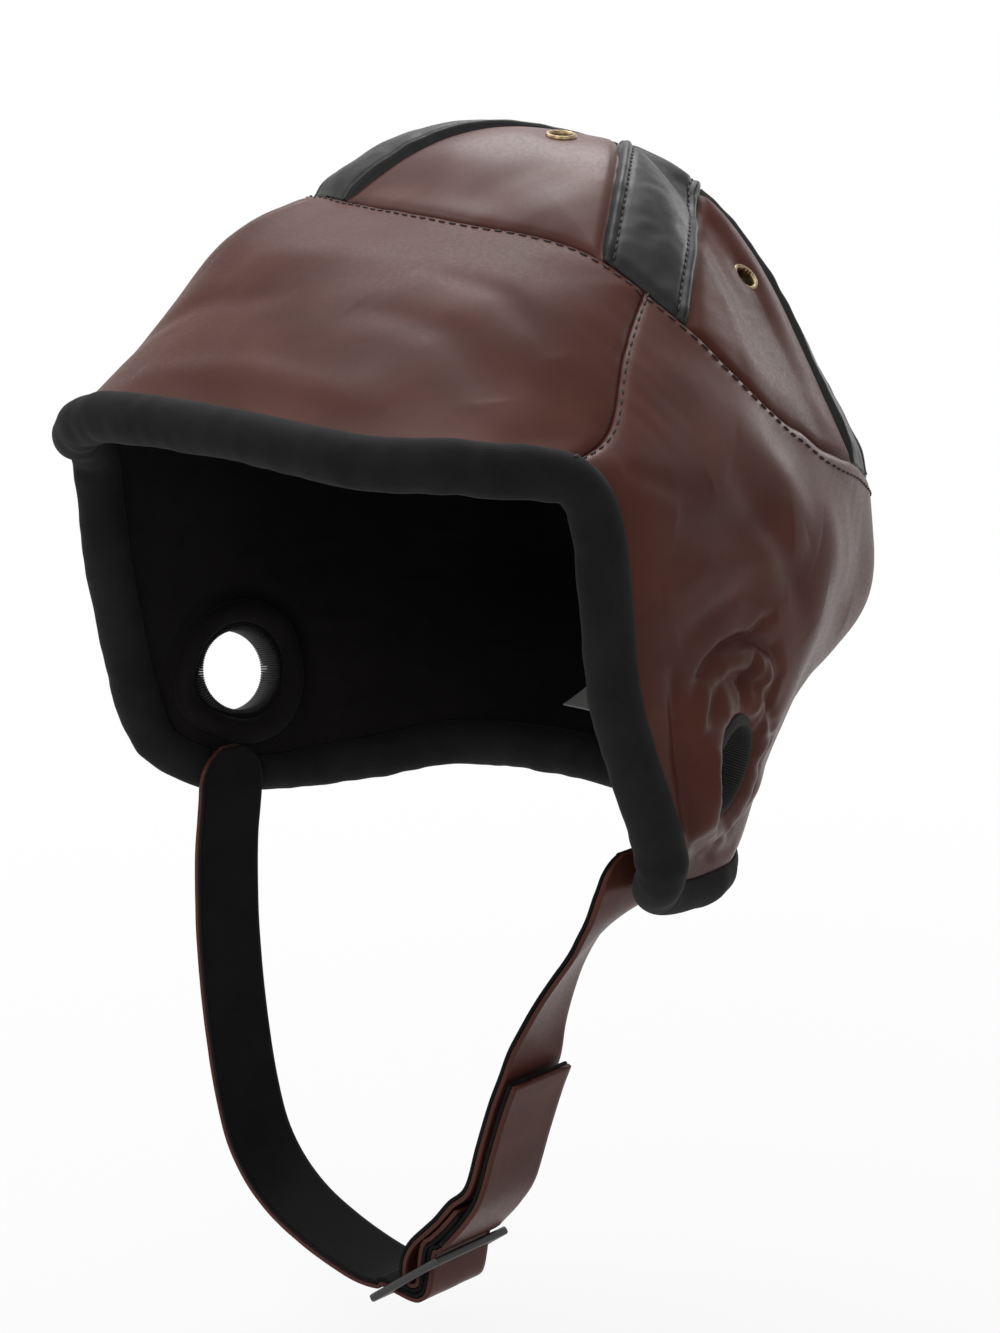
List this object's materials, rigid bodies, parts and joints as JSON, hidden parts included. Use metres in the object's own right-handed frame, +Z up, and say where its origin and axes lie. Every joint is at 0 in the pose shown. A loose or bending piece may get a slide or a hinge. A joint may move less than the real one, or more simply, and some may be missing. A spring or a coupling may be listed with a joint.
{
  "type": "soft football helmet",
  "caption": "Soft padded old-style football helmet in brown faux leather with black crown strips, rolled binding, ear holes, eyelets and an adjustable chin strap.",
  "frame": {"origin": "between the two ear holes at their mean height, 6 mm behind the line through their centres", "axes": "-Y is where the face looks, +X the wearer's left, +Z up, in the posture of the picture: the cap tipped 20 degrees back and the chin strap hanging plumb"},
  "size_m": [0.1788, 0.1941, 0.2796],
  "materials": {
    "brown_faux_leather": "satin",
    "black_faux_leather": "satin",
    "black_binding_fabric": "matte",
    "black_lining_fabric": "matte",
    "charcoal_foam": "matte",
    "antique_brass": "satin",
    "black_edging_thread": "matte",
    "black_slider_plastic": "satin",
    "grey_white_satin": "satin"
  },
  "bodies": {
    "cap": {"crown_front_panel": "brown_faux_leather", "crown_left_panel": "brown_faux_leather", "crown_back_panel": "brown_faux_leather", "crown_right_panel": "brown_faux_leather", "forehead_panel": "brown_faux_leather", "side_left_panel": "brown_faux_leather", "side_right_panel": "brown_faux_leather", "crown_strip_long": "black_faux_leather", "crown_strip_front_right": "black_faux_leather", "crown_strip_back_left": "black_faux_leather", "face_binding": "black_binding_fabric", "nape_binding": "black_binding_fabric", "crown_lining": "black_lining_fabric", "forehead_lining": "black_lining_fabric", "side_left_lining": "black_lining_fabric", "side_right_lining": "black_lining_fabric", "ear_pad_left": "black_lining_fabric", "ear_pad_right": "black_lining_fabric", "crown_foam": "charcoal_foam", "forehead_foam": "charcoal_foam", "side_left_foam": "charcoal_foam", "side_right_foam": "charcoal_foam", "eyelet_front": "antique_brass", "eyelet_washer_front": "antique_brass", "eyelet_left": "antique_brass", "eyelet_washer_left": "antique_brass", "eyelet_back": "antique_brass", "eyelet_washer_back": "antique_brass", "eyelet_right": "antique_brass", "eyelet_washer_right": "antique_brass", "ear_edging_left": "black_edging_thread", "ear_edging_right": "black_edging_thread", "care_label": "grey_white_satin"},
    "chin_strap": {"strap_right_face": "brown_faux_leather", "strap_right_backing": "black_lining_fabric", "strap_left_face": "brown_faux_leather", "strap_left_backing": "black_lining_fabric", "strap_slider": "black_slider_plastic"},
    "strap_tail": {"strap_tail_face": "brown_faux_leather", "strap_tail_backing": "black_lining_fabric"}
  },
  "joints": [
    {"name": "chin_strap_swing", "type": "hinge", "parent": "cap", "child": "chin_strap", "pos_m": [0, -0.02, -0.027], "axis": [1, 0, 0], "range_deg": [-60, 11]},
    {"name": "strap_tail_lift", "type": "hinge", "parent": "chin_strap", "child": "strap_tail", "pos_m": [0.01672, -0.02, -0.12555], "axis": [0, 1, 0], "range_deg": [0, 35]}
  ]
}
